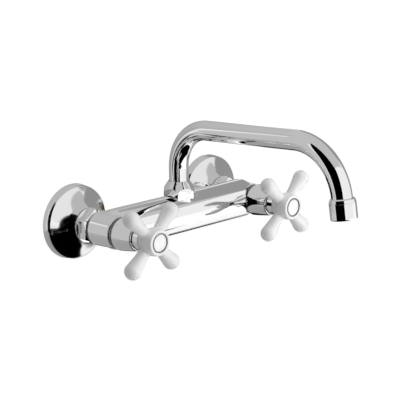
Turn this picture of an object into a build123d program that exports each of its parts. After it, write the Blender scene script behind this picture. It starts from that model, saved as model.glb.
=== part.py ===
from build123d import *
import math
import os

# Wall-mounted kitchen faucet with two cross handles and a swivelling spout, in millimetres.
# X runs along the wall, Y into the wall and Z up. The origin is midway between the two wall
# threads, on the wall's surface, so the faucet stands out towards -Y. "Out" below is the
# distance from the wall, and a height is measured from the faucet's own axis.

# Overall sizes
inlet_spacing = 150.0
union_offset = 7.5
bridge_r = 16.0
spout_tube_r = 8.0

# Threads, at their outer radius
wall_thread_r = 10.48
mixer_thread_r = 10.48
headwork_thread_r = 10.48

# Fits, all radial or face to face
thread_gap = 0.08
running_fit = 0.08
snug_fit = 0.02
face_gap = 0.1
moving_gap = 0.3

# Eccentric union: a wall thread, an offset shank and a mixer thread
wall_thread_length = 16.0
wall_thread_wall = 3.0
mixer_thread_wall = 3.0
shank_back = 1.0
shank_length = 8.0
union_out = 24.0
thread_lead_in = 0.8

# Wall flange
flange_r = 30.2
flange_rim_front_r = 29.5
flange_rim_out = 6.3
flange_dome_r = 28.9
flange_dome_out = 7.0
flange_out = 19.0
flange_dome_round = 19.0
flange_wall = 1.3
flange_thread_length = 6.0
flange_hub_wall = 1.8
flange_neck_wall = 3.2

# Coupling nut and inlet tail
nut_gap = 0.5
coupling_wall = 2.15
coupling_turn = 35.0
coupling_length = 11.0
coupling_face_inset = 0.4
coupling_collar_r = 13.9
coupling_collar_length = 1.3
coupling_collar_edge = 0.4
coupling_shoulder = 2.4
coupling_clearance = 0.6
hex_chamfer_angle = 30.0
inlet_washer_length = 2.0
inlet_washer_bore_r = 6.5
tail_collar_inset = 0.6
tail_r = 8.33
tail_wall = 2.33
neck_gap = 0.5
neck_length = 2.5
neck_wall = 3.1

# Mixer body: a cross tube at each valve, joined by the bridging tube
cross_tube_length = 23.0
cross_tube_step = 2.4
cross_tube_front_wall = 2.2
cross_tube_round = 1.2
bridge_overrun = 2.0
bridge_round = 6.0
chamber_wall = 6.0
chamber_end_wall = 3.0
passage_r = 4.0
passage_back = 8.5
seat_wall = 2.5
seat_bore_r = 5.0

# Spout seat on the crown of the bridging tube
crown_depth = 2.5
crown_margin = 0.35
boss_wall = 1.1
nipple_height = 6.5
nipple_wall = 2.1

# Spout nut
spout_nut_wall = 1.4
spout_nut_turn = -18.0
spout_nut_hex_height = 6.5
spout_nut_cone_height = 7.2
spout_nut_cone_inset = 0.35
spout_nut_lip = 0.3

# Spout: leg, rising run and down-bend, all of one tube
spout_wall = 1.1
run_height = 70.0
run_rise = 2.9
first_bend_r = 33.7
run_length = 93.0
second_bend_r = 43.2
outlet_lean = 8.3
outlet_straight = 9.0

# Swivel end in the foot of the spout, its two rubber rings and the slip ring over its collar
swivel_step = 0.3
swivel_wall = 1.3
swivel_collar_height = 1.6
swivel_collar_inset = 0.8
swivel_reach = 9.5
swivel_spigot_length = 8.0
swivel_groove_width = 1.8
swivel_groove_depth = 1.4
swivel_groove_heights = (2.6, 6.2)
slip_ring_height = 0.8
# A rubber ring flattened against its groove is nearly eight-sided
ring_section_sides = 8
ring_slack = 0.04

# Outlet ferrule and aerator
outlet_wall = 2.25
ferrule_wall = 1.6
ferrule_length = 3.3
ferrule_spigot_wall = 0.95
aerator_length = 12.6
aerator_edge = 1.2
aerator_mouth_ledge = 0.6
aerator_washer_length = 1.4
aerator_washer_width = 3.0
insert_flange_length = 1.4
insert_inset = 0.8
insert_wall = 1.0
insert_floor = 1.2
jet_r = 1.0
jet_pitch = 2.9
jet_rings = 2

# Headwork: seal and ceramic discs at its nose, thread, collar, hexagon and neck
headwork_reach = 13.5
seal_width = 2.6
seal_length = 1.5
disc_length = 2.5
port_width = 3.4
port_sweep = 56.0
nose_inset = 1.1
nose_wall = 1.1
disc_gap = 0.15
headwork_thread_length = 5.7
gasket_length = 0.8
collar_overhang = 1.9
collar_length = 3.2
collar_groove_out = 1.2
collar_groove_width = 0.7
collar_groove_depth = 0.7
boss_thread_inset = 0.2
boss_thread_length = 6.0
headwork_across_flats = 17.0
headwork_hex_length = 6.0
headwork_neck_wall = 2.0
headwork_neck_length = 3.5

# Spindle
driver_inset = 0.7
driver_length = 2.0
spindle_r = 4.5
spindle_across_flats = 7.0
spindle_square_length = 14.5
spindle_groove_out = 20.0
spindle_groove_width = 1.5
spindle_groove_depth = 1.1
tapping_length = 12.0

# Bell
bell_gap = 0.4
bell_length = 18.1
bell_back_overhang = 0.7
bell_middle_r = 12.1
bell_middle_length = 8.1
bell_front_r = 10.4
bell_edge = 1.0
bell_lip = 1.4

# Handle ferrule and cross handle
handle_ferrule_wall = 2.0
handle_ferrule_reach = 6.3
handle_ferrule_cover = 2.5
handle_spigot_r = 7.0
handle_sleeve_r = 8.5
handle_sleeve_length = 4.2
hub_flare_r = 11.3
hub_flare_length = 3.0
hub_flare_round = 1.5
hub_middle_r = 10.9
hub_middle_length = 7.5
hub_front_r = 9.9
hub_length = 12.0
hub_edge = 0.7
arm_out = 6.7
arm_angles = (45.0, 135.0, 225.0, 315.0)
arm_start = 6.0
arm_root_r = 4.4
arm_waist_out = 10.0
arm_tip_r = 6.6
arm_tip_out = 28.0
arm_tip_taper = 11.0
arm_blend = 1.6

# Handle screw, index ring and button
screw_r = 2.0
screw_head_r = 4.0
screw_head_length = 2.6
screw_length = 12.0
screw_key_across_flats = 3.0
screw_recess_gap = 0.6
screw_recess_length = 3.3
web_length = 2.5
index_ring_r = 7.63
index_ring_wall = 0.9
index_depth = 3.0
index_proud = 0.3
button_crown = 0.4


def corner_r(across_flats):
    """The radius of a hexagon's corners."""
    return across_flats / 2 / math.cos(math.radians(30))


# Distances from the wall that follow from the sizes above
nut_back = flange_out + nut_gap
nut_front = nut_back + coupling_length
body_back = nut_front + neck_gap + neck_length
body_front = body_back + cross_tube_length
bridge_out = (body_back + body_front) / 2
bridge_end = inlet_spacing / 2 + bridge_overrun
collar_out = body_front + gasket_length + collar_length
bell_back = collar_out + bell_gap
bell_front = bell_back + bell_length
sleeve_back = bell_front + handle_ferrule_reach
hub_back = sleeve_back + handle_sleeve_length
hub_front = hub_back + hub_length
seat_out = body_front - headwork_reach
disc_back = seat_out + seal_length
turning_disc_back = disc_back + disc_length + face_gap / 2
driver_back = turning_disc_back + disc_length + face_gap / 2
nose_end = driver_back + driver_length + face_gap

# Radii that follow from the thread or the tube that a piece fits
mixer_nut_bore_r = mixer_thread_r + thread_gap
coupling_across_flats = 2 * (mixer_nut_bore_r + coupling_wall)
tail_collar_r = mixer_thread_r - tail_collar_inset
neck_r = tail_r + thread_gap + neck_wall
cross_tube_back_r = neck_r + cross_tube_step
cross_tube_front_r = headwork_thread_r + thread_gap + cross_tube_front_wall
collar_r = headwork_thread_r + collar_overhang
bell_back_r = collar_r + bell_back_overhang
spot_face_r = bell_back_r + moving_gap
boss_thread_r = headwork_thread_r - boss_thread_inset
nose_r = headwork_thread_r - nose_inset
nose_bore_r = nose_r - nose_wall
disc_r = nose_bore_r - disc_gap
seal_r = disc_r - disc_gap
handle_ferrule_r = handle_spigot_r + handle_ferrule_wall
swivel_r = spout_tube_r + swivel_step
socket_r = swivel_r + running_fit
nipple_r = socket_r + nipple_wall
swivel_collar_r = nipple_r - swivel_collar_inset
spout_nut_bore_r = nipple_r + thread_gap
spout_nut_across_flats = 2 * (spout_nut_bore_r + spout_nut_wall)
spout_hole_r = spout_tube_r + moving_gap
outlet_r = spout_tube_r + outlet_wall
aerator_bore_r = spout_tube_r + ferrule_spigot_wall
aerator_mouth_r = aerator_bore_r - aerator_mouth_ledge

# Heights above the faucet's axis that follow
crown_height = bridge_r - crown_depth
nipple_top = crown_height + nipple_height
swivel_bottom = nipple_top - swivel_reach
swivel_top = nipple_top + face_gap + swivel_collar_height
slip_ring_bottom = swivel_top + face_gap
spout_nut_top = crown_height + spout_nut_hex_height + spout_nut_cone_height

valve_sides = {"hot": -inlet_spacing / 2, "cold": inlet_spacing / 2}


def wall_plane(x, out, height=union_offset):
    """A plane parallel to the wall, facing the room, centred on a valve's axis."""
    return Plane(origin=(x, -out, height), x_dir=(1, 0, 0), z_dir=(0, -1, 0))


def valve_section(x):
    """The upright plane through a valve's axis: X is the distance from the wall, Y the radius."""
    return Plane(origin=(x, 0, union_offset), x_dir=(0, -1, 0), z_dir=(-1, 0, 0))


def valve_axis(x):
    """The line that a valve's turned pieces turn about."""
    return Axis((x, 0, union_offset), (0, -1, 0))


def level(height):
    """A level plane centred on the spout's swivel, a height above the faucet's axis."""
    return Plane(origin=(0, -bridge_out, union_offset + height))


def save(piece, name):
    """Names a finished piece and writes it to its file."""
    piece.part.label = name
    export_step(piece.part, f"parts/{name}.step")


def is_root(edge):
    """Whether an edge of a cross handle lies where an arm meets the hub."""
    centre = edge.center()
    sideways = min(abs(centre.X - x) for x in valve_sides.values())
    from_axis = math.hypot(sideways, centre.Z - union_offset)
    return sideways > arm_blend and from_axis < arm_waist_out + arm_blend


os.makedirs("parts", exist_ok=True)
spout_section = Plane(origin=(0, -bridge_out, union_offset), x_dir=(0, -1, 0), z_dir=(-1, 0, 0))
swivel_axis = Axis((0, -bridge_out, 0), (0, 0, 1))

# Mixer body
with BuildPart() as mixer_body:
    with BuildSketch(Plane(origin=(-bridge_end, -bridge_out, union_offset), z_dir=(1, 0, 0))):
        Circle(bridge_r)
    extrude(amount=2 * bridge_end)
    fillet(mixer_body.edges().filter_by(GeomType.CIRCLE), bridge_round)
    for x in valve_sides.values():
        with BuildSketch(valve_section(x)) as cross_tube:
            with BuildLine():
                Polyline(
                    (body_back - neck_length, 0),
                    (body_back - neck_length, neck_r),
                    (body_back, neck_r),
                    (body_back, cross_tube_back_r),
                    (body_front, cross_tube_front_r),
                    (body_front, 0),
                    close=True,
                )
            make_face()
            back_corner = cross_tube.vertices().sort_by(Axis.Y)[-1]
            fillet(back_corner, cross_tube_round)
        revolve(axis=valve_axis(x))
        # Spot faces cut into the bridging tube: at the front for the headwork, at the back for
        # the coupling nut to turn in
        with BuildSketch(wall_plane(x, body_front)):
            Circle(spot_face_r)
        extrude(amount=bridge_r, mode=Mode.SUBTRACT)
        with BuildSketch(wall_plane(x, body_back - neck_length)):
            Circle(corner_r(coupling_across_flats) + coupling_clearance)
        extrude(amount=-bridge_r, mode=Mode.SUBTRACT)
    # The crown is milled flat for the spout nut, and a boss and a nipple stand on it
    with BuildSketch(level(crown_height)):
        Circle(corner_r(spout_nut_across_flats) + crown_margin)
    extrude(amount=bridge_r, mode=Mode.SUBTRACT)
    with BuildSketch(level(0)):
        Circle(nipple_r + boss_wall)
    extrude(amount=crown_height)
    with BuildSketch(level(crown_height)):
        Circle(nipple_r)
    extrude(amount=nipple_height)
    # Waterways: the chamber under the spout, a passage to each valve, the valves' own bores
    with BuildSketch(level(0)):
        Circle(socket_r)
    extrude(amount=nipple_top, mode=Mode.SUBTRACT)
    chamber_half = inlet_spacing / 2 - headwork_thread_r - chamber_end_wall
    with BuildSketch(Plane(origin=(-chamber_half, -bridge_out, union_offset), z_dir=(1, 0, 0))):
        Circle(bridge_r - chamber_wall)
    extrude(amount=2 * chamber_half, mode=Mode.SUBTRACT)
    passage_out = body_front - passage_back
    with BuildSketch(
        Plane(origin=(-inlet_spacing / 2, -passage_out, union_offset), z_dir=(1, 0, 0))
    ):
        Circle(passage_r)
    extrude(amount=inlet_spacing, mode=Mode.SUBTRACT)
    for x in valve_sides.values():
        with BuildSketch(wall_plane(x, body_back - neck_length)):
            Circle(tail_r + thread_gap)
        extrude(amount=seat_out - seat_wall - body_back + neck_length, mode=Mode.SUBTRACT)
        with BuildSketch(wall_plane(x, body_back)):
            Circle(seat_bore_r)
        extrude(amount=cross_tube_length, mode=Mode.SUBTRACT)
        with BuildSketch(wall_plane(x, seat_out)):
            Circle(headwork_thread_r + thread_gap)
        extrude(amount=headwork_reach, mode=Mode.SUBTRACT)
save(mixer_body, "mixer_body")

# Spout nut: a hexagon turned down to a cone
with BuildPart() as spout_nut:
    nut_corner_r = corner_r(spout_nut_across_flats)
    cone_r = nut_corner_r - spout_nut_cone_inset
    cone_bottom = crown_height + spout_nut_hex_height
    with BuildSketch(level(crown_height)):
        RegularPolygon(spout_nut_across_flats / 2, 6, major_radius=False, rotation=spout_nut_turn)
    extrude(amount=spout_nut_top - crown_height)
    with BuildSketch(spout_section):
        with BuildLine():
            Polyline(
                (0, crown_height),
                (cone_r, crown_height),
                (nut_corner_r, crown_height + spout_nut_cone_inset),
                (nut_corner_r, cone_bottom - spout_nut_cone_inset),
                (cone_r, cone_bottom),
                (spout_hole_r + spout_nut_lip, spout_nut_top),
                (0, spout_nut_top),
                close=True,
            )
        make_face()
    revolve(axis=swivel_axis, mode=Mode.INTERSECT)
    with BuildSketch(level(crown_height)):
        Circle(spout_hole_r)
    extrude(amount=spout_nut_top - crown_height, mode=Mode.SUBTRACT)
    with BuildSketch(level(crown_height)):
        Circle(spout_nut_bore_r)
    extrude(amount=slip_ring_bottom + slip_ring_height - crown_height, mode=Mode.SUBTRACT)
save(spout_nut, "spout_nut")

# Slip ring, which holds the spout's collar down
with BuildPart() as slip_ring:
    with BuildSketch(level(slip_ring_bottom)):
        Circle(nipple_r)
        Circle(spout_hole_r, mode=Mode.SUBTRACT)
    extrude(amount=slip_ring_height)
save(slip_ring, "slip_ring")

# Swivel end, turned in one piece with its collar
groove_centres = [swivel_bottom + height for height in swivel_groove_heights]
with BuildPart() as swivel_end:
    with BuildSketch(level(swivel_bottom)):
        Circle(swivel_r)
    extrude(amount=swivel_top - swivel_bottom)
    with BuildSketch(level(swivel_top - swivel_collar_height)):
        Circle(swivel_collar_r)
    extrude(amount=swivel_collar_height)
    with BuildSketch(level(swivel_top)):
        Circle(spout_tube_r - spout_wall - snug_fit)
    extrude(amount=swivel_spigot_length)
    with BuildSketch(level(swivel_bottom)):
        Circle(spout_tube_r - spout_wall - swivel_wall)
    extrude(amount=swivel_top - swivel_bottom + swivel_spigot_length, mode=Mode.SUBTRACT)
    for centre in groove_centres:
        with BuildSketch(level(centre - swivel_groove_width / 2)):
            Circle(swivel_r + moving_gap)
            Circle(swivel_r - swivel_groove_depth, mode=Mode.SUBTRACT)
        extrude(amount=swivel_groove_width, mode=Mode.SUBTRACT)
save(swivel_end, "swivel_end")

with BuildPart() as swivel_o_rings:
    ring_r = (swivel_groove_depth - ring_slack) / 2
    for centre in groove_centres:
        with BuildSketch(spout_section):
            with Locations((swivel_r - ring_r, centre)):
                RegularPolygon(ring_r, ring_section_sides, major_radius=False)
        revolve(axis=swivel_axis)
save(swivel_o_rings, "swivel_o_rings")

# Spout tube, one length bent twice, whose run rises from the leg
with BuildPart() as spout_tube:
    with BuildLine(spout_section) as spout_path:
        bend_start = run_height - first_bend_r * math.tan(math.radians((90 - run_rise) / 2))
        leg = Line((0, swivel_top), (0, bend_start))
        first_bend = JernArc(leg @ 1, leg % 1, first_bend_r, run_rise - 90)
        run = PolarLine(first_bend @ 1, run_length, direction=first_bend % 1)
        second_bend = JernArc(run @ 1, run % 1, second_bend_r, outlet_lean - run_rise - 90)
        outlet = PolarLine(second_bend @ 1, outlet_straight, direction=second_bend % 1)
    with BuildSketch(level(swivel_top)):
        Circle(spout_tube_r)
        Circle(spout_tube_r - spout_wall, mode=Mode.SUBTRACT)
    sweep()
save(spout_tube, "spout_tube")

# Outlet pieces share the line of the tube's straight end. Their sections run along it, from
# the seam between ferrule and aerator.
flow = outlet % 1
spigot_length = outlet_straight - ferrule_length
seam = outlet @ 1 - flow * spigot_length
outlet_axis = Axis(seam, flow)
outlet_section = Plane(origin=seam, x_dir=flow, z_dir=(-1, 0, 0))


def outlet_plane(along):
    """A plane square to the outlet, a distance past the seam."""
    return Plane(origin=seam + flow * along, x_dir=(1, 0, 0), z_dir=flow)


with BuildPart() as outlet_ferrule:
    with BuildSketch(outlet_section):
        with BuildLine():
            Polyline(
                (-ferrule_length, spout_tube_r + snug_fit),
                (-ferrule_length, spout_tube_r + ferrule_wall / 2),
                (ferrule_wall / 2 - ferrule_length, spout_tube_r + ferrule_wall),
                (0, outlet_r),
                (0, aerator_bore_r - face_gap / 2),
                (spigot_length, aerator_bore_r - face_gap / 2),
                (spigot_length, spout_tube_r + snug_fit),
                close=True,
            )
        make_face()
    revolve(axis=outlet_axis)
save(outlet_ferrule, "outlet_ferrule")

washer_start = spigot_length
insert_start = washer_start + aerator_washer_length
ledge = insert_start + insert_flange_length
with BuildPart() as aerator_housing:
    with BuildSketch(outlet_plane(face_gap)):
        Circle(outlet_r)
    extrude(amount=aerator_length - face_gap)
    fillet(aerator_housing.edges().group_by(outlet_axis)[-1], aerator_edge)
    with BuildSketch(outlet_plane(0)):
        Circle(aerator_mouth_r)
    extrude(amount=aerator_length, mode=Mode.SUBTRACT)
    with BuildSketch(outlet_plane(0)):
        Circle(aerator_bore_r + thread_gap)
    extrude(amount=ledge, mode=Mode.SUBTRACT)
save(aerator_housing, "aerator_housing")

with BuildPart() as aerator_washer:
    with BuildSketch(outlet_plane(washer_start)):
        Circle(aerator_bore_r)
        Circle(aerator_bore_r - aerator_washer_width, mode=Mode.SUBTRACT)
    extrude(amount=aerator_washer_length)
save(aerator_washer, "aerator_washer")

with BuildPart() as aerator_insert:
    insert_r = aerator_mouth_r - moving_gap
    with BuildSketch(outlet_plane(insert_start)):
        Circle(aerator_bore_r)
    extrude(amount=insert_flange_length)
    insert_end = aerator_length - insert_inset
    with BuildSketch(outlet_plane(ledge)):
        Circle(insert_r)
    extrude(amount=insert_end - ledge)
    with BuildSketch(outlet_plane(insert_start)):
        Circle(insert_r - insert_wall)
    extrude(amount=insert_end - insert_floor - insert_start, mode=Mode.SUBTRACT)
    # The floor has one jet in the middle and rings of six and twelve around it
    with BuildSketch(outlet_plane(insert_end - insert_floor)):
        Circle(jet_r)
        for ring in range(1, jet_rings + 1):
            with PolarLocations(ring * jet_pitch, 6 * ring):
                Circle(jet_r)
    extrude(amount=insert_floor, mode=Mode.SUBTRACT)
save(aerator_insert, "aerator_insert")

# Everything on a valve's line, once for the hot side and once for the cold side
for side, x in valve_sides.items():
    with BuildPart() as eccentric_union:
        shank_out = shank_back + shank_length
        with BuildSketch(wall_plane(x, -wall_thread_length, 0)):
            Circle(wall_thread_r)
        extrude(amount=wall_thread_length + shank_back)
        chamfer(eccentric_union.edges().group_by(Axis.Y)[-1], thread_lead_in)
        with BuildSketch(wall_plane(x, shank_back, 0)):
            Circle(wall_thread_r)
        with BuildSketch(wall_plane(x, shank_out)):
            Circle(mixer_thread_r)
        loft()
        with BuildSketch(wall_plane(x, shank_out)):
            Circle(mixer_thread_r)
        extrude(amount=union_out - shank_out)
        chamfer(eccentric_union.edges().group_by(Axis.Y)[0], thread_lead_in)
        # Waterway: two bores joined by a slanted one
        with BuildSketch(wall_plane(x, -wall_thread_length, 0)):
            Circle(wall_thread_r - wall_thread_wall)
        extrude(amount=wall_thread_length + shank_back, mode=Mode.SUBTRACT)
        with BuildSketch(wall_plane(x, shank_back, 0)):
            Circle(wall_thread_r - wall_thread_wall)
        with BuildSketch(wall_plane(x, shank_out)):
            Circle(mixer_thread_r - mixer_thread_wall)
        loft(mode=Mode.SUBTRACT)
        with BuildSketch(wall_plane(x, shank_out)):
            Circle(mixer_thread_r - mixer_thread_wall)
        extrude(amount=union_out - shank_out, mode=Mode.SUBTRACT)
    save(eccentric_union, f"{side}_eccentric_union")

    with BuildPart() as wall_flange:
        with BuildSketch(valve_section(x)):
            with BuildLine():
                rim = Polyline(
                    (0, flange_r - flange_wall),
                    (0, flange_r),
                    (flange_rim_out, flange_rim_front_r),
                    (flange_dome_out, flange_dome_r),
                )
                flange_front = (flange_out, mixer_nut_bore_r + flange_neck_wall)
                dome = RadiusArc(rim @ 1, flange_front, flange_dome_round)
                # The inside of the dome keeps the wall's thickness from the outside
                inward = flange_wall / flange_dome_round
                inner_front = dome @ 1 + (dome.arc_center - dome @ 1) * inward
                inner_back = dome @ 0 + (dome.arc_center - dome @ 0) * inward
                RadiusArc(inner_front, inner_back, flange_wall - flange_dome_round)
                Line(inner_back, rim @ 0)
                Polyline(
                    inner_front,
                    (flange_out - flange_thread_length, mixer_nut_bore_r + flange_hub_wall),
                    (flange_out - flange_thread_length, mixer_nut_bore_r),
                    (flange_out, mixer_nut_bore_r),
                    dome @ 1,
                )
            make_face()
        revolve(axis=valve_axis(x))
    save(wall_flange, f"{side}_wall_flange")

    with BuildPart() as coupling_nut:
        with BuildSketch(wall_plane(x, nut_back)):
            RegularPolygon(
                coupling_across_flats / 2, 6, major_radius=False, rotation=coupling_turn
            )
        extrude(amount=coupling_length)
        corner = corner_r(coupling_across_flats)
        coupling_face_r = coupling_across_flats / 2 - coupling_face_inset
        bevel = (corner - coupling_face_r) * math.tan(math.radians(hex_chamfer_angle))
        with BuildSketch(valve_section(x)):
            with BuildLine():
                Polyline(
                    (nut_back, 0),
                    (nut_back, coupling_face_r),
                    (nut_back + bevel, corner),
                    (nut_front - bevel, corner),
                    (nut_front, coupling_face_r),
                    (nut_front, 0),
                    close=True,
                )
            make_face()
        revolve(axis=valve_axis(x), mode=Mode.INTERSECT)
        # A turned collar closes the hexagon's back end
        with BuildSketch(wall_plane(x, nut_back)):
            Circle(coupling_collar_r)
        extrude(amount=coupling_collar_length)
        chamfer(coupling_nut.edges().group_by(Axis.Y)[-1], coupling_collar_edge)
        with BuildSketch(wall_plane(x, nut_back)):
            Circle(tail_r + moving_gap)
        extrude(amount=coupling_length, mode=Mode.SUBTRACT)
        with BuildSketch(wall_plane(x, nut_back)):
            Circle(mixer_nut_bore_r)
        extrude(amount=coupling_length - coupling_shoulder, mode=Mode.SUBTRACT)
    save(coupling_nut, f"{side}_coupling_nut")

    with BuildPart() as inlet_washer:
        with BuildSketch(wall_plane(x, union_out)):
            Circle(tail_collar_r)
            Circle(inlet_washer_bore_r, mode=Mode.SUBTRACT)
        extrude(amount=inlet_washer_length)
    save(inlet_washer, f"{side}_inlet_washer")

    # The tail's collar is pulled against the washer by the nut, and its foot is screwed into
    # the body
    with BuildPart() as inlet_tail:
        tail_back = union_out + inlet_washer_length
        with BuildSketch(wall_plane(x, tail_back)):
            Circle(tail_collar_r)
        extrude(amount=nut_front - coupling_shoulder - tail_back)
        with BuildSketch(wall_plane(x, tail_back)):
            Circle(tail_r)
        extrude(amount=seat_out - seat_wall - tail_back)
        with BuildSketch(wall_plane(x, tail_back)):
            RegularPolygon(tail_r - tail_wall, 6, major_radius=False)
        extrude(amount=seat_out - seat_wall - tail_back, mode=Mode.SUBTRACT)
    save(inlet_tail, f"{side}_inlet_tail")

    with BuildPart() as headwork_gasket:
        with BuildSketch(wall_plane(x, body_front)):
            Circle(collar_r - face_gap)
            Circle(headwork_thread_r + face_gap, mode=Mode.SUBTRACT)
        extrude(amount=gasket_length)
    save(headwork_gasket, f"{side}_headwork_gasket")

    with BuildPart() as headwork_body:
        nose_back = seat_out + moving_gap
        with BuildSketch(wall_plane(x, nose_back)):
            Circle(nose_r)
        extrude(amount=body_front - nose_back)
        with BuildSketch(wall_plane(x, body_front - headwork_thread_length)):
            Circle(headwork_thread_r)
        extrude(amount=headwork_thread_length + gasket_length)
        with BuildSketch(wall_plane(x, body_front + gasket_length)):
            Circle(collar_r)
        extrude(amount=collar_length)
        chamfer(
            headwork_body.edges().filter_by(GeomType.CIRCLE).filter_by(lambda e: e.radius == collar_r),
            moving_gap,
        )
        with BuildSketch(wall_plane(x, body_front + gasket_length + collar_groove_out)):
            Circle(collar_r)
            Circle(collar_r - collar_groove_depth, mode=Mode.SUBTRACT)
        extrude(amount=collar_groove_width, mode=Mode.SUBTRACT)
        with BuildSketch(wall_plane(x, collar_out)):
            Circle(boss_thread_r)
        extrude(amount=boss_thread_length)
        with BuildSketch(wall_plane(x, collar_out + boss_thread_length)):
            RegularPolygon(headwork_across_flats / 2, 6, major_radius=False)
        extrude(amount=headwork_hex_length)
        neck_out = collar_out + boss_thread_length + headwork_hex_length
        with BuildSketch(wall_plane(x, neck_out)):
            Circle(spindle_r + headwork_neck_wall)
        extrude(amount=headwork_neck_length)
        # Nose bore for the discs, spindle bore, and the two windows that let the water out
        with BuildSketch(wall_plane(x, nose_back)):
            Circle(nose_bore_r)
        extrude(amount=nose_end - nose_back, mode=Mode.SUBTRACT)
        with BuildSketch(wall_plane(x, nose_back)):
            Circle(spindle_r + running_fit)
        extrude(amount=neck_out + headwork_neck_length - nose_back, mode=Mode.SUBTRACT)
        with BuildSketch(
            Plane(origin=(x - nose_r, -turning_disc_back - disc_length / 2, union_offset), z_dir=(1, 0, 0))
        ):
            Rectangle(disc_length, nose_bore_r)
        extrude(amount=2 * nose_r, mode=Mode.SUBTRACT)
    save(headwork_body, f"{side}_headwork_body")

    with BuildPart() as seat_seal:
        with BuildSketch(wall_plane(x, seat_out)):
            Circle(seal_r)
            Circle(seal_r - seal_width, mode=Mode.SUBTRACT)
        extrude(amount=seal_length)
    save(seat_seal, f"{side}_seat_seal")

    # The two discs have the same pair of ports, a quarter turn apart while the valve is shut
    for disc_name, disc_start, first_port in (
        ("fixed_disc", disc_back, 0),
        ("rotating_disc", turning_disc_back, 90),
    ):
        with BuildPart() as disc:
            with BuildSketch(wall_plane(x, disc_start)):
                Circle(disc_r)
                for turn in (first_port, first_port + 180):
                    port = CenterArc(
                        (0, 0), disc_r / 2, turn - port_sweep / 2, port_sweep, mode=Mode.PRIVATE
                    )
                    SlotArc(port, port_width, mode=Mode.SUBTRACT)
            extrude(amount=disc_length)
        save(disc, f"{side}_{disc_name}")

    with BuildPart() as spindle:
        web_back = hub_front - index_depth - screw_recess_length - web_length
        spindle_front = web_back - moving_gap
        square_back = spindle_front - spindle_square_length
        with BuildSketch(wall_plane(x, driver_back)):
            Circle(nose_bore_r - driver_inset)
        extrude(amount=driver_length)
        with BuildSketch(wall_plane(x, driver_back)):
            Circle(spindle_r)
        extrude(amount=square_back - driver_back)
        with BuildSketch(wall_plane(x, square_back)):
            Rectangle(spindle_across_flats, spindle_across_flats)
            Circle(spindle_r, mode=Mode.INTERSECT)
        extrude(amount=spindle_square_length)
        with BuildSketch(wall_plane(x, driver_back + spindle_groove_out)):
            Circle(spindle_r)
            Circle(spindle_r - spindle_groove_depth, mode=Mode.SUBTRACT)
        extrude(amount=spindle_groove_width, mode=Mode.SUBTRACT)
        with BuildSketch(wall_plane(x, spindle_front)):
            Circle(screw_r + face_gap)
        extrude(amount=-tapping_length, mode=Mode.SUBTRACT)
    save(spindle, f"{side}_spindle")

    with BuildPart() as spindle_o_ring:
        ring_out = driver_back + spindle_groove_out + spindle_groove_width / 2
        ring_r = (spindle_groove_depth - ring_slack) / 2
        with BuildSketch(valve_section(x)):
            with Locations((ring_out, spindle_r - ring_r)):
                RegularPolygon(ring_r, ring_section_sides, major_radius=False)
        revolve(axis=valve_axis(x))
    save(spindle_o_ring, f"{side}_spindle_o_ring")

    with BuildPart() as bell:
        thread_end = collar_out + boss_thread_length
        hex_end = thread_end + headwork_hex_length
        bell_hole_r = handle_ferrule_r + moving_gap
        with BuildSketch(valve_section(x)) as bell_profile:
            with BuildLine():
                side_line = ThreePointArc(
                    (bell_back, bell_back_r),
                    (bell_back + bell_middle_length, bell_middle_r),
                    (bell_front, bell_front_r),
                )
                Polyline(
                    side_line @ 1,
                    (bell_front, bell_hole_r),
                    (bell_front - bell_lip, bell_hole_r),
                    (hex_end, corner_r(headwork_across_flats) + face_gap),
                    (thread_end, corner_r(headwork_across_flats) + face_gap),
                    (thread_end, boss_thread_r + thread_gap),
                    (bell_back, boss_thread_r + thread_gap),
                    side_line @ 0,
                )
            make_face()
            front_corner = bell_profile.vertices().group_by(Axis.X)[-1].sort_by(Axis.Y)[-1]
            fillet(front_corner, bell_edge)
        revolve(axis=valve_axis(x))
    save(bell, f"{side}_bell")

    with BuildPart() as handle_ferrule:
        with BuildSketch(wall_plane(x, bell_front - handle_ferrule_cover)):
            Circle(handle_ferrule_r)
            Circle(handle_spigot_r + snug_fit, mode=Mode.SUBTRACT)
        extrude(amount=handle_ferrule_cover + handle_ferrule_reach)
    save(handle_ferrule, f"{side}_handle_ferrule")

    with BuildPart() as cross_handle:
        with BuildSketch(valve_section(x)) as hub_profile:
            with BuildLine():
                back = Polyline(
                    (bell_front - handle_ferrule_cover + moving_gap, 0),
                    (bell_front - handle_ferrule_cover + moving_gap, handle_spigot_r),
                    (sleeve_back, handle_spigot_r),
                    (sleeve_back, handle_sleeve_r),
                    (hub_back, handle_sleeve_r),
                )
                hub_side = ThreePointArc(
                    (hub_back + hub_flare_length, hub_flare_r),
                    (hub_back + hub_middle_length, hub_middle_r),
                    (hub_front, hub_front_r),
                )
                Line(back @ 1, hub_side @ 0)
                Polyline(hub_side @ 1, (hub_front, 0), back @ 0)
            make_face()
            flare_corners = hub_profile.vertices().sort_by(Axis.Y)[-1]
            fillet(flare_corners, hub_flare_round)
            rim_corner = hub_profile.vertices().group_by(Axis.X)[-1].sort_by(Axis.Y)[-1]
            fillet(rim_corner, hub_edge)
        revolve(axis=valve_axis(x))
        for angle in arm_angles:
            lean = math.radians(angle)
            arm_plane = Plane(
                origin=(x, -(sleeve_back + arm_out), union_offset),
                x_dir=(math.cos(lean), 0, math.sin(lean)),
                z_dir=(0, -1, 0),
            )
            with BuildSketch(arm_plane):
                with BuildLine():
                    tip = CenterArc((arm_tip_out, 0), arm_tip_r, 0, 90 + arm_tip_taper)
                    arm_side = TangentArc(tip @ 1, (arm_waist_out, arm_root_r), tangent=tip % 1)
                    Polyline(arm_side @ 1, (arm_start, arm_root_r), (arm_start, 0), tip @ 0)
                make_face()
            revolve(axis=Axis(arm_plane.origin, arm_plane.x_dir))
        # Each arm runs into the hub through a blend along their common edges
        roots = cross_handle.edges().filter_by(GeomType.CIRCLE, reverse=True).filter_by(is_root)
        fillet(roots, arm_blend)
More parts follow.
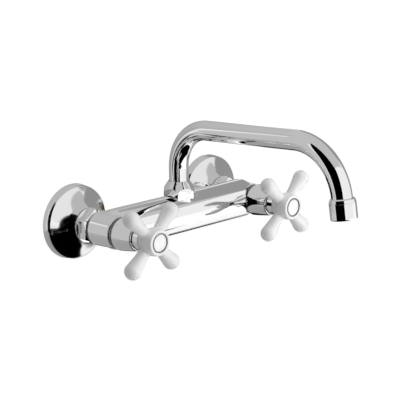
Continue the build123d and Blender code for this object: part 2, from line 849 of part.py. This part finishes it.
        # Counterbore for the index ring, recess for the screw head, and a square for the spindle
        with BuildSketch(wall_plane(x, hub_front - index_depth)):
            Circle(index_ring_r + snug_fit)
        extrude(amount=index_depth + hub_edge, mode=Mode.SUBTRACT)
        with BuildSketch(wall_plane(x, hub_front - index_depth - screw_recess_length)):
            Circle(screw_head_r + screw_recess_gap)
        extrude(amount=screw_recess_length, mode=Mode.SUBTRACT)
        with BuildSketch(wall_plane(x, web_back)):
            Circle(screw_r + face_gap)
        extrude(amount=web_length, mode=Mode.SUBTRACT)
        with BuildSketch(wall_plane(x, bell_front - handle_ferrule_cover)):
            Rectangle(spindle_across_flats + face_gap, spindle_across_flats + face_gap)
        extrude(amount=web_back - bell_front + handle_ferrule_cover, mode=Mode.SUBTRACT)
        with BuildSketch(wall_plane(x, bell_front - handle_ferrule_cover)):
            Circle(spindle_r + running_fit)
        extrude(amount=square_back + moving_gap - bell_front + handle_ferrule_cover, mode=Mode.SUBTRACT)
    save(cross_handle, f"{side}_cross_handle")

    with BuildPart() as handle_screw:
        head_out = web_back + web_length
        with BuildSketch(wall_plane(x, head_out)):
            Circle(screw_head_r)
        extrude(amount=screw_head_length)
        with BuildSketch(wall_plane(x, head_out)):
            Circle(screw_r)
        extrude(amount=-screw_length)
        with BuildSketch(wall_plane(x, head_out + screw_head_length)):
            RegularPolygon(screw_key_across_flats / 2, 6, major_radius=False)
        extrude(amount=-screw_head_length / 2, mode=Mode.SUBTRACT)
    save(handle_screw, f"{side}_handle_screw")

    with BuildPart() as index_ring:
        with BuildSketch(wall_plane(x, hub_front - index_depth)):
            Circle(index_ring_r)
            Circle(index_ring_r - index_ring_wall, mode=Mode.SUBTRACT)
        extrude(amount=index_depth + index_proud)
    save(index_ring, f"{side}_index_ring")

    with BuildPart() as index_button:
        button_r = index_ring_r - index_ring_wall - snug_fit
        with BuildSketch(valve_section(x)):
            with BuildLine():
                crown = TangentArc(
                    (hub_front, 0), (hub_front - button_crown, button_r), tangent=(0, 1)
                )
                Polyline(
                    crown @ 1,
                    (hub_front - index_depth, button_r),
                    (hub_front - index_depth, 0),
                    crown @ 0,
                )
            make_face()
        revolve(axis=valve_axis(x))
    save(index_button, f"{side}_index_button")
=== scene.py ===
"""Finishes, threads, light and camera for a wall-mounted two-handle kitchen faucet."""

import math

import bpy
from mathutils import Matrix, Vector


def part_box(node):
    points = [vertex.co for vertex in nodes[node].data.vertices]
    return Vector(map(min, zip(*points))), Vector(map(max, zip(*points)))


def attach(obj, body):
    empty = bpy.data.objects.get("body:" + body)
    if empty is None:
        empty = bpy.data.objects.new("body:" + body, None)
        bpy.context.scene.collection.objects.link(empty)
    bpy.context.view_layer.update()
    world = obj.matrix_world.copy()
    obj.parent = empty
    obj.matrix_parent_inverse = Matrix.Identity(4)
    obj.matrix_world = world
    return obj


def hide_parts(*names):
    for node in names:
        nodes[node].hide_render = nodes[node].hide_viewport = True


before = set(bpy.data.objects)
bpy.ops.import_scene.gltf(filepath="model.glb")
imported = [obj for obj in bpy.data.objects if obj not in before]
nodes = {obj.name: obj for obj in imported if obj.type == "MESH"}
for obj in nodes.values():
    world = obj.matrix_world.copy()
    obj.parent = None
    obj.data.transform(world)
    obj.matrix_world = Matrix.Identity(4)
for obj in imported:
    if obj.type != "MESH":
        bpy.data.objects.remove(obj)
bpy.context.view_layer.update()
scene = bpy.context.scene

# Camera, fitted to the photograph's frame of 400 by 400 pixels
frame_pixels = 400
focal_pixels = 1500
sensor_width = 36
camera_yaw = math.radians(-44.79)
camera_pitch = math.radians(13.55)
camera_roll = math.radians(-0.81)
camera_distance = 1.21677
sighted_point = Vector((0, -0.040, 0.0075))
sighted_pixel = (175.21, 211.81)

# Eccentric unions, in metres: a G1/2 pipe thread at each end of a cranked shank
thread_pitch = 0.001814
thread_depth = 0.00116
thread_flat = 0.14
thread_lead_in = 0.0008
thread_run_out = 0.0016
steps_per_turn = 9
union_wall = 0.003
shank_back = 0.001
shank_length = 0.008
shank_steps = 12

# Wall flanges, in metres: a bead of a rim, a flank flared at slopes in degrees, a short threaded neck
flange_rim_out = 0.0063
flange_rim_drop = 0.0007
flange_flank_out = 0.007
flange_flank_drop = 0.0013
flange_neck_wall = 0.0032
flange_thread_length = 0.006
flange_thread_gap = 0.00015
flange_wall = 0.0013
flank_slopes = (28, 33, 38, 42, 62)
flank_steps = 24

# Unions and flanges alike: points round each ring, and how sharp a bend stays an edge
points_per_ring = 96
sharp_bend = math.radians(35)

# Floor that the camera sees, in metres, and where the lamps aim
floor_height = -0.36
floor_half_size = 9
lamp_target = Vector((0, -0.05, 0))

# Plain room that the chrome mirrors, in metres from the middle of the wall mounting
room_left = -0.8
room_right = 1.0
room_front = -1.3
room_back = 0.8
room_top = 1.2
room_foot = -0.45
right_wall_front = -0.6
ceiling_half_width = 1.5
ceiling_back = 1.5
back_floor_height = -0.3
flag_edge = 0.15
flag_top = 1.1
front_board_height = -0.34
back_board_height = -0.28

# How bright the room's cards are, and how wide a band they fade out over at their edges
black = 0
dim_grey = 0.35
light_grey = 0.6
crisp_edge = 0.03
soft_edge = 0.1
card_divisions = 16

# Axes that a card's glow can be graded along
backward, upward = 1, 2

# How far each kind of surface eases its edges in the shading, in metres
cast_easing = 0.0012
plated_easing = 0.0002
turned_easing = 0.00015
moulded_easing = 0.0003
coat_roughness = 0.12

# Sockets of a Mix node that mixes colours: the two colours and the result
first_color, second_color, mixed_color = 6, 7, 2


def new_material(name):
    """A material with an empty node tree apart from its Principled shader."""
    material = bpy.data.materials.new(name)
    material.use_nodes = True
    tree = material.node_tree
    shader = next(n for n in tree.nodes if n.type == "BSDF_PRINCIPLED")
    return material, tree, shader


def new_group(name, inputs, outputs):
    """A shader node group with the named input values and outputs."""
    tree = bpy.data.node_groups.new(name, "ShaderNodeTree")
    for socket_name, default in inputs.items():
        kind = "NodeSocketColor" if isinstance(default, tuple) and len(default) == 4 else (
            "NodeSocketVector" if isinstance(default, tuple) else "NodeSocketFloat")
        socket = tree.interface.new_socket(socket_name, in_out="INPUT", socket_type=kind)
        socket.default_value = default
    for socket_name, kind in outputs.items():
        tree.interface.new_socket(socket_name, in_out="OUTPUT", socket_type="NodeSocket" + kind)
    return tree, tree.nodes.new("NodeGroupInput"), tree.nodes.new("NodeGroupOutput")


def add(tree, kind, **settings):
    """A new node with its settings; values of plain sockets are given by their names."""
    node = tree.nodes.new("ShaderNode" + kind)
    for key, value in settings.items():
        if hasattr(node, key):
            setattr(node, key, value)
        else:
            node.inputs[key.replace("_", " ").title()].default_value = value
    return node


def place_group(tree, group, **values):
    """The group as a node in a material, with that material's own values."""
    node = tree.nodes.new("ShaderNodeGroup")
    node.node_tree = group
    for key, value in values.items():
        node.inputs[key.replace("_", " ").title()].default_value = value
    return node


def build_plating_group():
    """Plated metal: long soft waves left by buffing, and a faint uneven haze."""
    tree, given, out = new_group(
        "buffed_plating",
        {"Wave Scale": 55.0, "Haze Scale": 900.0, "Least Roughness": 0.02, "Most Roughness": 0.06},
        {"Roughness": "Float", "Height": "Float"},
    )
    place = add(tree, "TexCoord")
    waves = add(tree, "TexNoise", detail=1.0)
    tree.links.new(place.outputs["Object"], waves.inputs["Vector"])
    tree.links.new(given.outputs["Wave Scale"], waves.inputs["Scale"])
    tree.links.new(waves.outputs["Fac"], out.inputs["Height"])
    haze = add(tree, "TexNoise", detail=3.0)
    tree.links.new(place.outputs["Object"], haze.inputs["Vector"])
    tree.links.new(given.outputs["Haze Scale"], haze.inputs["Scale"])
    spread = add(tree, "MapRange")
    spread.inputs["From Min"].default_value = 0.3
    spread.inputs["From Max"].default_value = 0.7
    tree.links.new(haze.outputs["Fac"], spread.inputs["Value"])
    tree.links.new(given.outputs["Least Roughness"], spread.inputs["To Min"])
    tree.links.new(given.outputs["Most Roughness"], spread.inputs["To Max"])
    tree.links.new(spread.outputs["Result"], out.inputs["Roughness"])
    return tree


def build_turned_group():
    """Turned metal: fine tool marks spaced along the lathe axis, and small stains."""
    tree, given, out = new_group(
        "lathe_marks",
        {
            "Axis": (0.0, 1.0, 0.0),
            "Marks Per Metre": 4200.0,
            "Bright": (0.8, 0.6, 0.3, 1.0),
            "Stained": (0.6, 0.4, 0.2, 1.0),
            "Least Roughness": 0.2,
            "Most Roughness": 0.35,
        },
        {"Color": "Color", "Roughness": "Float", "Height": "Float"},
    )
    place = add(tree, "TexCoord")
    along = add(tree, "VectorMath", operation="DOT_PRODUCT")
    tree.links.new(place.outputs["Object"], along.inputs[0])
    tree.links.new(given.outputs["Axis"], along.inputs[1])
    marks = add(tree, "TexNoise", noise_dimensions="1D", detail=2.0)
    tree.links.new(along.outputs["Value"], marks.inputs["W"])
    tree.links.new(given.outputs["Marks Per Metre"], marks.inputs["Scale"])
    tree.links.new(marks.outputs["Fac"], out.inputs["Height"])
    stains = add(tree, "TexNoise", scale=220.0, detail=4.0)
    tree.links.new(place.outputs["Object"], stains.inputs["Vector"])
    tint = add(tree, "Mix", data_type="RGBA")
    tree.links.new(stains.outputs["Fac"], tint.inputs["Factor"])
    tree.links.new(given.outputs["Bright"], tint.inputs[first_color])
    tree.links.new(given.outputs["Stained"], tint.inputs[second_color])
    tree.links.new(tint.outputs[mixed_color], out.inputs["Color"])
    spread = add(tree, "MapRange")
    tree.links.new(stains.outputs["Fac"], spread.inputs["Value"])
    tree.links.new(given.outputs["Least Roughness"], spread.inputs["To Min"])
    tree.links.new(given.outputs["Most Roughness"], spread.inputs["To Max"])
    tree.links.new(spread.outputs["Result"], out.inputs["Roughness"])
    return tree


def build_moulded_group():
    """Moulded or glazed skin: an orange-peel surface and a slight change of shade."""
    tree, given, out = new_group(
        "moulded_skin",
        {
            "Peel Scale": 700.0,
            "Light Shade": (0.8, 0.8, 0.8, 1.0),
            "Dark Shade": (0.7, 0.7, 0.7, 1.0),
            "Least Roughness": 0.25,
            "Most Roughness": 0.35,
        },
        {"Color": "Color", "Roughness": "Float", "Height": "Float"},
    )
    place = add(tree, "TexCoord")
    peel = add(tree, "TexNoise", detail=2.0)
    tree.links.new(place.outputs["Object"], peel.inputs["Vector"])
    tree.links.new(given.outputs["Peel Scale"], peel.inputs["Scale"])
    tree.links.new(peel.outputs["Fac"], out.inputs["Height"])
    clouds = add(tree, "TexNoise", scale=60.0, detail=3.0)
    tree.links.new(place.outputs["Object"], clouds.inputs["Vector"])
    tint = add(tree, "Mix", data_type="RGBA")
    tree.links.new(clouds.outputs["Fac"], tint.inputs["Factor"])
    tree.links.new(given.outputs["Light Shade"], tint.inputs[first_color])
    tree.links.new(given.outputs["Dark Shade"], tint.inputs[second_color])
    tree.links.new(tint.outputs[mixed_color], out.inputs["Color"])
    spread = add(tree, "MapRange")
    tree.links.new(clouds.outputs["Fac"], spread.inputs["Value"])
    tree.links.new(given.outputs["Least Roughness"], spread.inputs["To Min"])
    tree.links.new(given.outputs["Most Roughness"], spread.inputs["To Max"])
    tree.links.new(spread.outputs["Result"], out.inputs["Roughness"])
    return tree


plating = build_plating_group()
turned = build_turned_group()
moulded = build_moulded_group()


def lift(tree, shader, source, depth, easing):
    """Joins a group's height to the shader's normal as a bump, over slightly eased edges."""
    eased = add(tree, "Bevel", samples=6)
    eased.inputs["Radius"].default_value = easing
    bump = add(tree, "Bump")
    bump.inputs["Distance"].default_value = depth
    tree.links.new(eased.outputs["Normal"], bump.inputs["Normal"])
    tree.links.new(source.outputs["Height"], bump.inputs["Height"])
    tree.links.new(bump.outputs["Normal"], shader.inputs["Normal"])


def plated(name, grey, wave_depth, easing=plated_easing, **values):
    """Chrome or nickel plate over polished metal."""
    material, tree, shader = new_material(name)
    shader.inputs["Base Color"].default_value = (*grey, 1)
    shader.inputs["Metallic"].default_value = 1
    marks = place_group(tree, plating, **values)
    tree.links.new(marks.outputs["Roughness"], shader.inputs["Roughness"])
    lift(tree, shader, marks, wave_depth, easing)
    return material


def turned_metal(name, bright, stained, depth, **values):
    """Bare metal off the lathe."""
    material, tree, shader = new_material(name)
    shader.inputs["Metallic"].default_value = 1
    marks = place_group(tree, turned, bright=(*bright, 1), stained=(*stained, 1), **values)
    tree.links.new(marks.outputs["Color"], shader.inputs["Base Color"])
    tree.links.new(marks.outputs["Roughness"], shader.inputs["Roughness"])
    lift(tree, shader, marks, depth, turned_easing)
    return material


def moulded_material(name, light, dark, depth, coat=0.0, **values):
    """Plastic, rubber, enamel or ceramic."""
    material, tree, shader = new_material(name)
    skin = place_group(tree, moulded, light_shade=(*light, 1), dark_shade=(*dark, 1), **values)
    tree.links.new(skin.outputs["Color"], shader.inputs["Base Color"])
    tree.links.new(skin.outputs["Roughness"], shader.inputs["Roughness"])
    shader.inputs["Coat Weight"].default_value = coat
    shader.inputs["Coat Roughness"].default_value = coat_roughness
    lift(tree, shader, skin, depth, moulded_easing)
    return material


chrome_grey = (0.84, 0.84, 0.845)
spun_grey = (0.77, 0.77, 0.775)
# The index rings' dark grey is painted reflection: it stands in for the dark surroundings that a
# plated ring mirrors
ring_painted_dark_grey = (0.17, 0.17, 0.175)
nickel_grey = (0.30, 0.30, 0.297)
cast_chrome = plated(
    "cast_chrome", chrome_grey, 4e-5, easing=cast_easing,
    wave_scale=38, least_roughness=0.02, most_roughness=0.05)
drawn_chrome = plated(
    "drawn_chrome", chrome_grey, 2e-5, wave_scale=50, least_roughness=0.015, most_roughness=0.04)
turned_chrome = plated(
    "turned_chrome", chrome_grey, 2e-5, wave_scale=60, least_roughness=0.02, most_roughness=0.045)
spun_chrome = plated(
    "spun_chrome", spun_grey, 2e-5,
    wave_scale=45, least_roughness=0.07, most_roughness=0.12)
facet_chrome = plated(
    "facet_chrome", chrome_grey, 8e-5, wave_scale=220, least_roughness=0.02, most_roughness=0.05)
# Satin plated index rings: the roughness is their own, the dark base colour is painted reflection
satin_ring_painted_dark = plated(
    "satin_ring_painted_dark", ring_painted_dark_grey, 1e-5, least_roughness=0.25, most_roughness=0.35)
nickel_plate = plated(
    "nickel_plate", nickel_grey, 1e-5, least_roughness=0.08, most_roughness=0.14)

finishes = {
    "chrome": turned_chrome,
    "handle_white": moulded_material(
        "white_handle", (0.86, 0.86, 0.855), (0.84, 0.84, 0.835), 4e-6, coat=0.3,
        least_roughness=0.3, most_roughness=0.38),
    "button_white": moulded_material(
        "white_button", (0.93, 0.93, 0.93), (0.91, 0.91, 0.91), 2e-6, coat=0.5,
        least_roughness=0.2, most_roughness=0.26),
    "brass": turned_metal(
        "turned_brass", (0.78, 0.65, 0.41), (0.63, 0.50, 0.29), 4e-6),
    "headwork_brass": nickel_plate,
    "steel": turned_metal(
        "stainless_steel", (0.66, 0.65, 0.64), (0.55, 0.54, 0.53), 2e-6),
    "rubber": moulded_material(
        "black_rubber", (0.035, 0.035, 0.037), (0.022, 0.022, 0.024), 1e-5,
        peel_scale=1500, least_roughness=0.5, most_roughness=0.7),
    "disc_ceramic": moulded_material(
        "disc_ceramic", (0.86, 0.85, 0.82), (0.80, 0.79, 0.76), 1e-6,
        least_roughness=0.08, most_roughness=0.16),
    "insert_plastic": moulded_material(
        "insert_plastic", (0.70, 0.70, 0.69), (0.62, 0.62, 0.61), 4e-6),
    "bearing_plastic": moulded_material(
        "bearing_plastic", (0.80, 0.79, 0.75), (0.74, 0.73, 0.69), 4e-6,
        least_roughness=0.35, most_roughness=0.5),
}

# Pieces whose finish differs from the rest of their slot
own_finishes = {
    "mixer_body": cast_chrome,
    "spout_tube": drawn_chrome,
    "spout_nut": facet_chrome,
    "hot_coupling_nut": facet_chrome,
    # The index rings get a dark base colour that is painted reflection
    "cold_coupling_nut": facet_chrome,
    "hot_index_ring": satin_ring_painted_dark,
    "cold_index_ring": satin_ring_painted_dark,
}

for node_name, node in nodes.items():
    slot = node.material_slots[0]
    slot.material = own_finishes.get(node_name, finishes[slot.material.name])


def ease(share):
    """A share from nought to one that starts and ends gently."""
    return share * share * (3 - 2 * share)


def ring(x, y, height, radius_at):
    """Points round an axis that runs into the wall; the radius may change with the angle."""
    points = []
    for step in range(points_per_ring):
        angle = math.tau * step / points_per_ring
        radius = radius_at(angle)
        points.append((x + radius * math.cos(angle), y, height + radius * math.sin(angle)))
    return points


def hollow_piece(name, rings):
    """A closed piece with a bore: each ring joins the next, and the last joins the first."""
    count = len(rings)
    faces = []
    for i in range(count):
        start, after = i * points_per_ring, (i + 1) % count * points_per_ring
        for j in range(points_per_ring):
            k = (j + 1) % points_per_ring
            faces.append((start + j, after + j, after + k, start + k))
    mesh = bpy.data.meshes.new(name)
    mesh.from_pydata([point for points in rings for point in points], [], faces)
    mesh.shade_smooth()
    mesh.set_sharp_from_angle(angle=sharp_bend)
    piece = bpy.data.objects.new(name, mesh)
    scene.collection.objects.link(piece)
    return piece


def thread_cut(along, angle):
    """The depth of a right-hand thread below its crests, along its axis and round it."""
    phase = (along / thread_pitch - angle / math.tau) % 1
    climb = (abs(2 * phase - 1) - thread_flat) / (1 - 2 * thread_flat)
    return thread_depth * (1 - min(max(climb, 0), 1))


def threaded_rings(x, height, crest, start, end, lead_start):
    """Rings of a threaded stretch, cut from its free end and running out before the shank."""
    length = abs(end - start)
    count = round(length / thread_pitch * steps_per_turn)
    rings = []
    for i in range(count + 1):
        y = start + (end - start) * i / count
        from_free_end = abs(y - lead_start)
        to_shank = length - from_free_end
        bevelled = crest - max(thread_lead_in - from_free_end, 0)
        fade = min(max(to_shank / thread_run_out, 0), 1)

        def radius_at(angle, y=y, bevelled=bevelled, fade=fade):
            return min(bevelled, crest - thread_cut(-y, angle) * fade)

        rings.append(ring(x, y, height, radius_at))
    return rings


def build_union(side):
    """An eccentric union with both its threads cut, over the plain one of the model."""
    low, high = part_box(f"{side}_eccentric_union")
    x = (low.x + high.x) / 2
    crest = (high.x - low.x) / 2
    offset = high.z - crest
    bore = crest - union_wall
    shank_front = -shank_back - shank_length
    rings = threaded_rings(x, 0, crest, high.y, -shank_back, high.y)
    for i in range(1, shank_steps):
        share = i / shank_steps
        crank = ease(share)
        y = -shank_back - shank_length * share
        rings.append(ring(x, y, offset * crank, lambda angle: crest))
    rings += threaded_rings(x, offset, crest, shank_front, low.y, low.y)
    inside = [(low.y, offset), (shank_front, offset), (-shank_back, 0), (high.y, 0)]
    rings += [ring(x, y, height, lambda angle: bore) for y, height in inside]
    piece = hollow_piece(f"{side}_threaded_union", rings)
    piece.data.materials.append(finishes["brass"])
    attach(piece, "faucet_body")
    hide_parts(f"{side}_eccentric_union")


def flank_profile(start, end):
    """Points down a flank whose slope, in degrees, changes evenly between its stations."""
    stations = len(flank_slopes) - 1
    climbs = [0]
    for i in range(flank_steps):
        place = (i + 0.5) / flank_steps * stations
        station = int(place)
        share = place - station
        slope = flank_slopes[station] * (1 - share) + flank_slopes[station + 1] * share
        climbs.append(climbs[-1] + math.tan(math.radians(slope)))
    points = []
    for i, climb in enumerate(climbs):
        out = start[0] + (end[0] - start[0]) * climb / climbs[-1]
        points.append((out, start[1] + (end[1] - start[1]) * i / flank_steps))
    return points


def build_flange(side):
    """A wall flange spun with a nearly straight flank, over the rounder one of the model."""
    low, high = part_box(f"{side}_wall_flange")
    union_low, union_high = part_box(f"{side}_eccentric_union")
    x = (low.x + high.x) / 2
    radius = (high.x - low.x) / 2
    front = high.y - low.y
    bore = (union_high.x - union_low.x) / 2 + flange_thread_gap
    flank = flank_profile(
        (flange_flank_out, radius - flange_flank_drop), (front, bore + flange_neck_wall))
    hub_back = front - flange_thread_length
    profile = [(0, radius), (flange_rim_out, radius - flange_rim_drop)] + flank
    profile += [(front, bore), (hub_back, bore)]
    profile += [(out - flange_wall, r - flange_wall) for out, r in reversed(flank) if out < hub_back]
    profile.append((0, radius - flange_wall))
    rings = [ring(x, high.y - out, (low.z + high.z) / 2, lambda angle, r=r: r) for out, r in profile]
    piece = hollow_piece(f"{side}_flared_flange", rings)
    piece.data.materials.append(spun_chrome)
    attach(piece, "faucet_body")
    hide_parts(f"{side}_wall_flange")


for side in ("hot", "cold"):
    build_union(side)
    build_flange(side)


def build_card_light():
    """The light that a studio card gives back: each card's own glow, faded at its edges."""
    material, tree, shader = new_material("card_light")
    tree.nodes.remove(shader)
    output = next(n for n in tree.nodes if n.type == "OUTPUT_MATERIAL")
    glow = add(tree, "Attribute", attribute_name="glow")
    cover = add(tree, "Attribute", attribute_name="cover")
    fade = add(tree, "MapRange", interpolation_type="SMOOTHSTEP")
    tree.links.new(cover.outputs["Fac"], fade.inputs["Value"])
    light = add(tree, "Emission")
    tree.links.new(glow.outputs["Fac"], light.inputs["Strength"])
    clear = add(tree, "BsdfTransparent")
    mix = add(tree, "MixShader")
    tree.links.new(fade.outputs["Result"], mix.inputs["Fac"])
    tree.links.new(clear.outputs["BSDF"], mix.inputs[1])
    tree.links.new(light.outputs["Emission"], mix.inputs[2])
    tree.links.new(mix.outputs["Shader"], output.inputs["Surface"])
    return material


card_light = build_card_light()


def card(name, corners, low_glow, high_glow, feather, graded_along):
    """A studio card that only reflections see, with a glow graded along one axis."""
    corners = [Vector(corner) for corner in corners]
    middle = sum(corners, Vector()) / 4
    lowest = min(corner[graded_along] for corner in corners)
    highest = max(corner[graded_along] for corner in corners)
    steps = card_divisions + 1
    points, glows, covers = [], [], []
    for row in range(steps):
        for column in range(steps):
            # The grid is closer near the edges, where the card fades
            u, v = ease(column / card_divisions), ease(row / card_divisions)
            point = corners[0].lerp(corners[1], u).lerp(corners[3].lerp(corners[2], u), v)
            share = (point[graded_along] - lowest) / (highest - lowest)
            inset = min(distance_inside(point, corners, middle, i) for i in range(4))
            points.append(point)
            glows.append(low_glow + (high_glow - low_glow) * share)
            covers.append(inset / feather)
    faces = []
    for row in range(card_divisions):
        for column in range(card_divisions):
            first = row * steps + column
            faces.append((first, first + 1, first + steps + 1, first + steps))
    mesh = bpy.data.meshes.new(name)
    mesh.from_pydata(points, [], faces)
    mesh.attributes.new("glow", "FLOAT", "POINT").data.foreach_set("value", glows)
    mesh.attributes.new("cover", "FLOAT", "POINT").data.foreach_set("value", covers)
    mesh.materials.append(card_light)
    piece = bpy.data.objects.new(name, mesh)
    scene.collection.objects.link(piece)
    piece.visible_camera = False
    piece.visible_diffuse = False
    piece.visible_shadow = False


def distance_inside(point, corners, middle, i):
    """How far a point of a card lies inside one of its edges."""
    start, end = corners[i], corners[(i + 1) % 4]
    along = (end - start).normalized()
    across = (middle - start) - along * (middle - start).dot(along)
    return (point - start).dot(across.normalized())


def upright_card(name, start, end, bottom, top, low_glow, high_glow, feather):
    """A wall or flag between two places on the floor plan."""
    corners = [(*start, bottom), (*end, bottom), (*end, top), (*start, top)]
    card(name, corners, low_glow, high_glow, feather, upward)


def flat_card(name, corners, height, front_glow, back_glow, feather):
    """A ceiling, floor or board, level at one height."""
    card(name, [(x, y, height) for x, y in corners], front_glow, back_glow, feather, backward)


def rectangle(left, right, front, back):
    """Corners of a board laid square with the wall."""
    return [(left, front), (right, front), (right, back), (left, back)]


def board_to_camera(near, far, left, right):
    """Corners of a board laid in line with the camera, measured from the middle of the room."""
    towards = Vector((math.sin(camera_yaw), -math.cos(camera_yaw)))
    across = Vector((math.cos(camera_yaw), math.sin(camera_yaw)))
    return [
        towards * far + across * left,
        towards * far + across * right,
        towards * near + across * right,
        towards * near + across * left,
    ]


def build_room():
    """Grey walls, ceiling and back floor, open to the white world in front on the right."""
    upright_card(
        "left_wall", (room_left, flag_edge), (room_left, room_back), room_foot, room_top,
        light_grey, light_grey, soft_edge)
    upright_card(
        "back_wall", (room_left, room_back), (room_right, room_back), room_foot, room_top,
        dim_grey, light_grey, soft_edge)
    upright_card(
        "right_wall", (room_right, right_wall_front), (room_right, room_back), room_foot, room_top,
        dim_grey, dim_grey, soft_edge)
    flat_card(
        "ceiling", rectangle(-ceiling_half_width, ceiling_half_width, room_front, ceiling_back),
        room_top, light_grey, light_grey, soft_edge)
    flat_card(
        "back_floor", rectangle(left=-1, right=1.2, front=0, back=1),
        back_floor_height, dim_grey, light_grey, soft_edge)


def build_flags():
    """Black cards for the dark reflections on the spout and the left flange."""
    # As far out on the left as the camera, for the dark band down the spout
    upright_card(
        "side_flag", (room_left, flag_edge), (room_left, room_front), room_foot, flag_top,
        black, black, crisp_edge)
    # Two low in front for the left flange's dark patch, and a small one low behind for the spout
    flat_card(
        "front_board", board_to_camera(near=-0.1, far=2.4, left=-1, right=0.4),
        front_board_height, black, black, crisp_edge)
    flat_card(
        "wide_board", board_to_camera(near=0.8, far=1.35, left=0, right=0.7),
        front_board_height, black, black, crisp_edge)
    flat_card(
        "back_board", rectangle(left=0.1, right=0.4, front=0.1, back=0.4),
        back_board_height, black, black, crisp_edge)


def ray_is_seen(tree):
    """One for rays from the camera and rays that metal or glass sends on, else nought."""
    path = add(tree, "LightPath")
    seen = add(tree, "Math", operation="MAXIMUM")
    tree.links.new(path.outputs["Is Camera Ray"], seen.inputs[0])
    tree.links.new(path.outputs["Is Glossy Ray"], seen.inputs[1])
    more = add(tree, "Math", operation="MAXIMUM")
    tree.links.new(seen.outputs[0], more.inputs[0])
    tree.links.new(path.outputs["Is Transmission Ray"], more.inputs[1])
    return more.outputs[0]


def build_floor():
    """A pale floor that keeps shadows and reads white to the camera and in reflections."""
    material, tree, shader = new_material("pale_floor")
    shader.inputs["Base Color"].default_value = (0.9, 0.9, 0.9, 1)
    shader.inputs["Roughness"].default_value = 0.9
    shader.inputs["Specular IOR Level"].default_value = 0.1
    shader.inputs["Emission Color"].default_value = (1, 1, 1, 1)
    # The glow makes up for the lamps' light, which thins out away from the middle
    place = add(tree, "TexCoord")
    reach = add(tree, "VectorMath", operation="LENGTH")
    tree.links.new(place.outputs["Object"], reach.inputs[0])
    grade = add(tree, "MapRange", interpolation_type="SMOOTHSTEP")
    reaches_and_glows = {"From Min": 0.3, "From Max": 3.0, "To Min": 0.50, "To Max": 0.84}
    for socket_name, value in reaches_and_glows.items():
        grade.inputs[socket_name].default_value = value
    tree.links.new(reach.outputs["Value"], grade.inputs["Value"])
    glow = add(tree, "Math", operation="MULTIPLY")
    tree.links.new(ray_is_seen(tree), glow.inputs[0])
    tree.links.new(grade.outputs["Result"], glow.inputs[1])
    tree.links.new(glow.outputs[0], shader.inputs["Emission Strength"])
    size = floor_half_size
    mesh = bpy.data.meshes.new("floor")
    mesh.from_pydata(
        [(-size, -size, 0), (size, -size, 0), (size, size, 0), (-size, size, 0)], [], [range(4)])
    mesh.materials.append(material)
    floor = bpy.data.objects.new("floor", mesh)
    floor.location.z = floor_height
    scene.collection.objects.link(floor)


def build_world():
    """White where the camera and reflections look past the cards, plain grey as a light."""
    world = bpy.data.worlds.new("studio")
    scene.world = world
    world.use_nodes = True
    tree = world.node_tree
    background = next(n for n in tree.nodes if n.type == "BACKGROUND")
    background.inputs["Color"].default_value = (1, 1, 1, 1)
    grade = add(tree, "MapRange")
    grade.inputs["To Min"].default_value = 0.3
    grade.inputs["To Max"].default_value = 1.0
    tree.links.new(ray_is_seen(tree), grade.inputs["Value"])
    tree.links.new(grade.outputs["Result"], background.inputs["Strength"])


def softbox(name, position, size, power):
    """A large square soft lamp, aimed at the mixer body, that reflections don't see."""
    lamp = bpy.data.lights.new(name, "AREA")
    lamp.shape = "RECTANGLE"
    lamp.size = size
    lamp.size_y = size
    lamp.energy = power
    box = bpy.data.objects.new(name, lamp)
    scene.collection.objects.link(box)
    box.location = position
    box.rotation_euler = (lamp_target - Vector(position)).to_track_quat("-Z", "Y").to_euler()
    box.visible_glossy = False


def build_camera():
    """The photograph's viewpoint, from where one known point shows and how far off it is."""
    away = Vector((
        math.sin(camera_yaw) * math.cos(camera_pitch),
        -math.cos(camera_yaw) * math.cos(camera_pitch),
        math.sin(camera_pitch),
    ))
    level_right = Vector((math.cos(camera_yaw), math.sin(camera_yaw), 0))
    level_up = away.cross(level_right)
    right = level_right * math.cos(camera_roll) + level_up * math.sin(camera_roll)
    up = away.cross(right)
    scale = camera_distance / focal_pixels
    middle = frame_pixels / 2
    shift_right = (sighted_pixel[0] - middle) * scale
    shift_up = (middle - sighted_pixel[1]) * scale
    position = sighted_point - right * shift_right - up * shift_up + away * camera_distance
    lens = bpy.data.cameras.new("camera")
    lens.sensor_width = sensor_width
    lens.lens = focal_pixels / frame_pixels * sensor_width
    camera = bpy.data.objects.new("camera", lens)
    scene.collection.objects.link(camera)
    camera.matrix_world = Matrix((
        (right.x, up.x, away.x, position.x),
        (right.y, up.y, away.y, position.y),
        (right.z, up.z, away.z, position.z),
        (0, 0, 0, 1),
    ))
    scene.camera = camera


build_room()
build_flags()
build_floor()
build_world()
softbox("front_box", position=(0.55, -1.4, 0.25), size=1.2, power=15)
softbox("overhead_box", position=(0.1, 0.0, 1.4), size=1.4, power=7)
build_camera()
scene.view_settings.view_transform = "Standard"
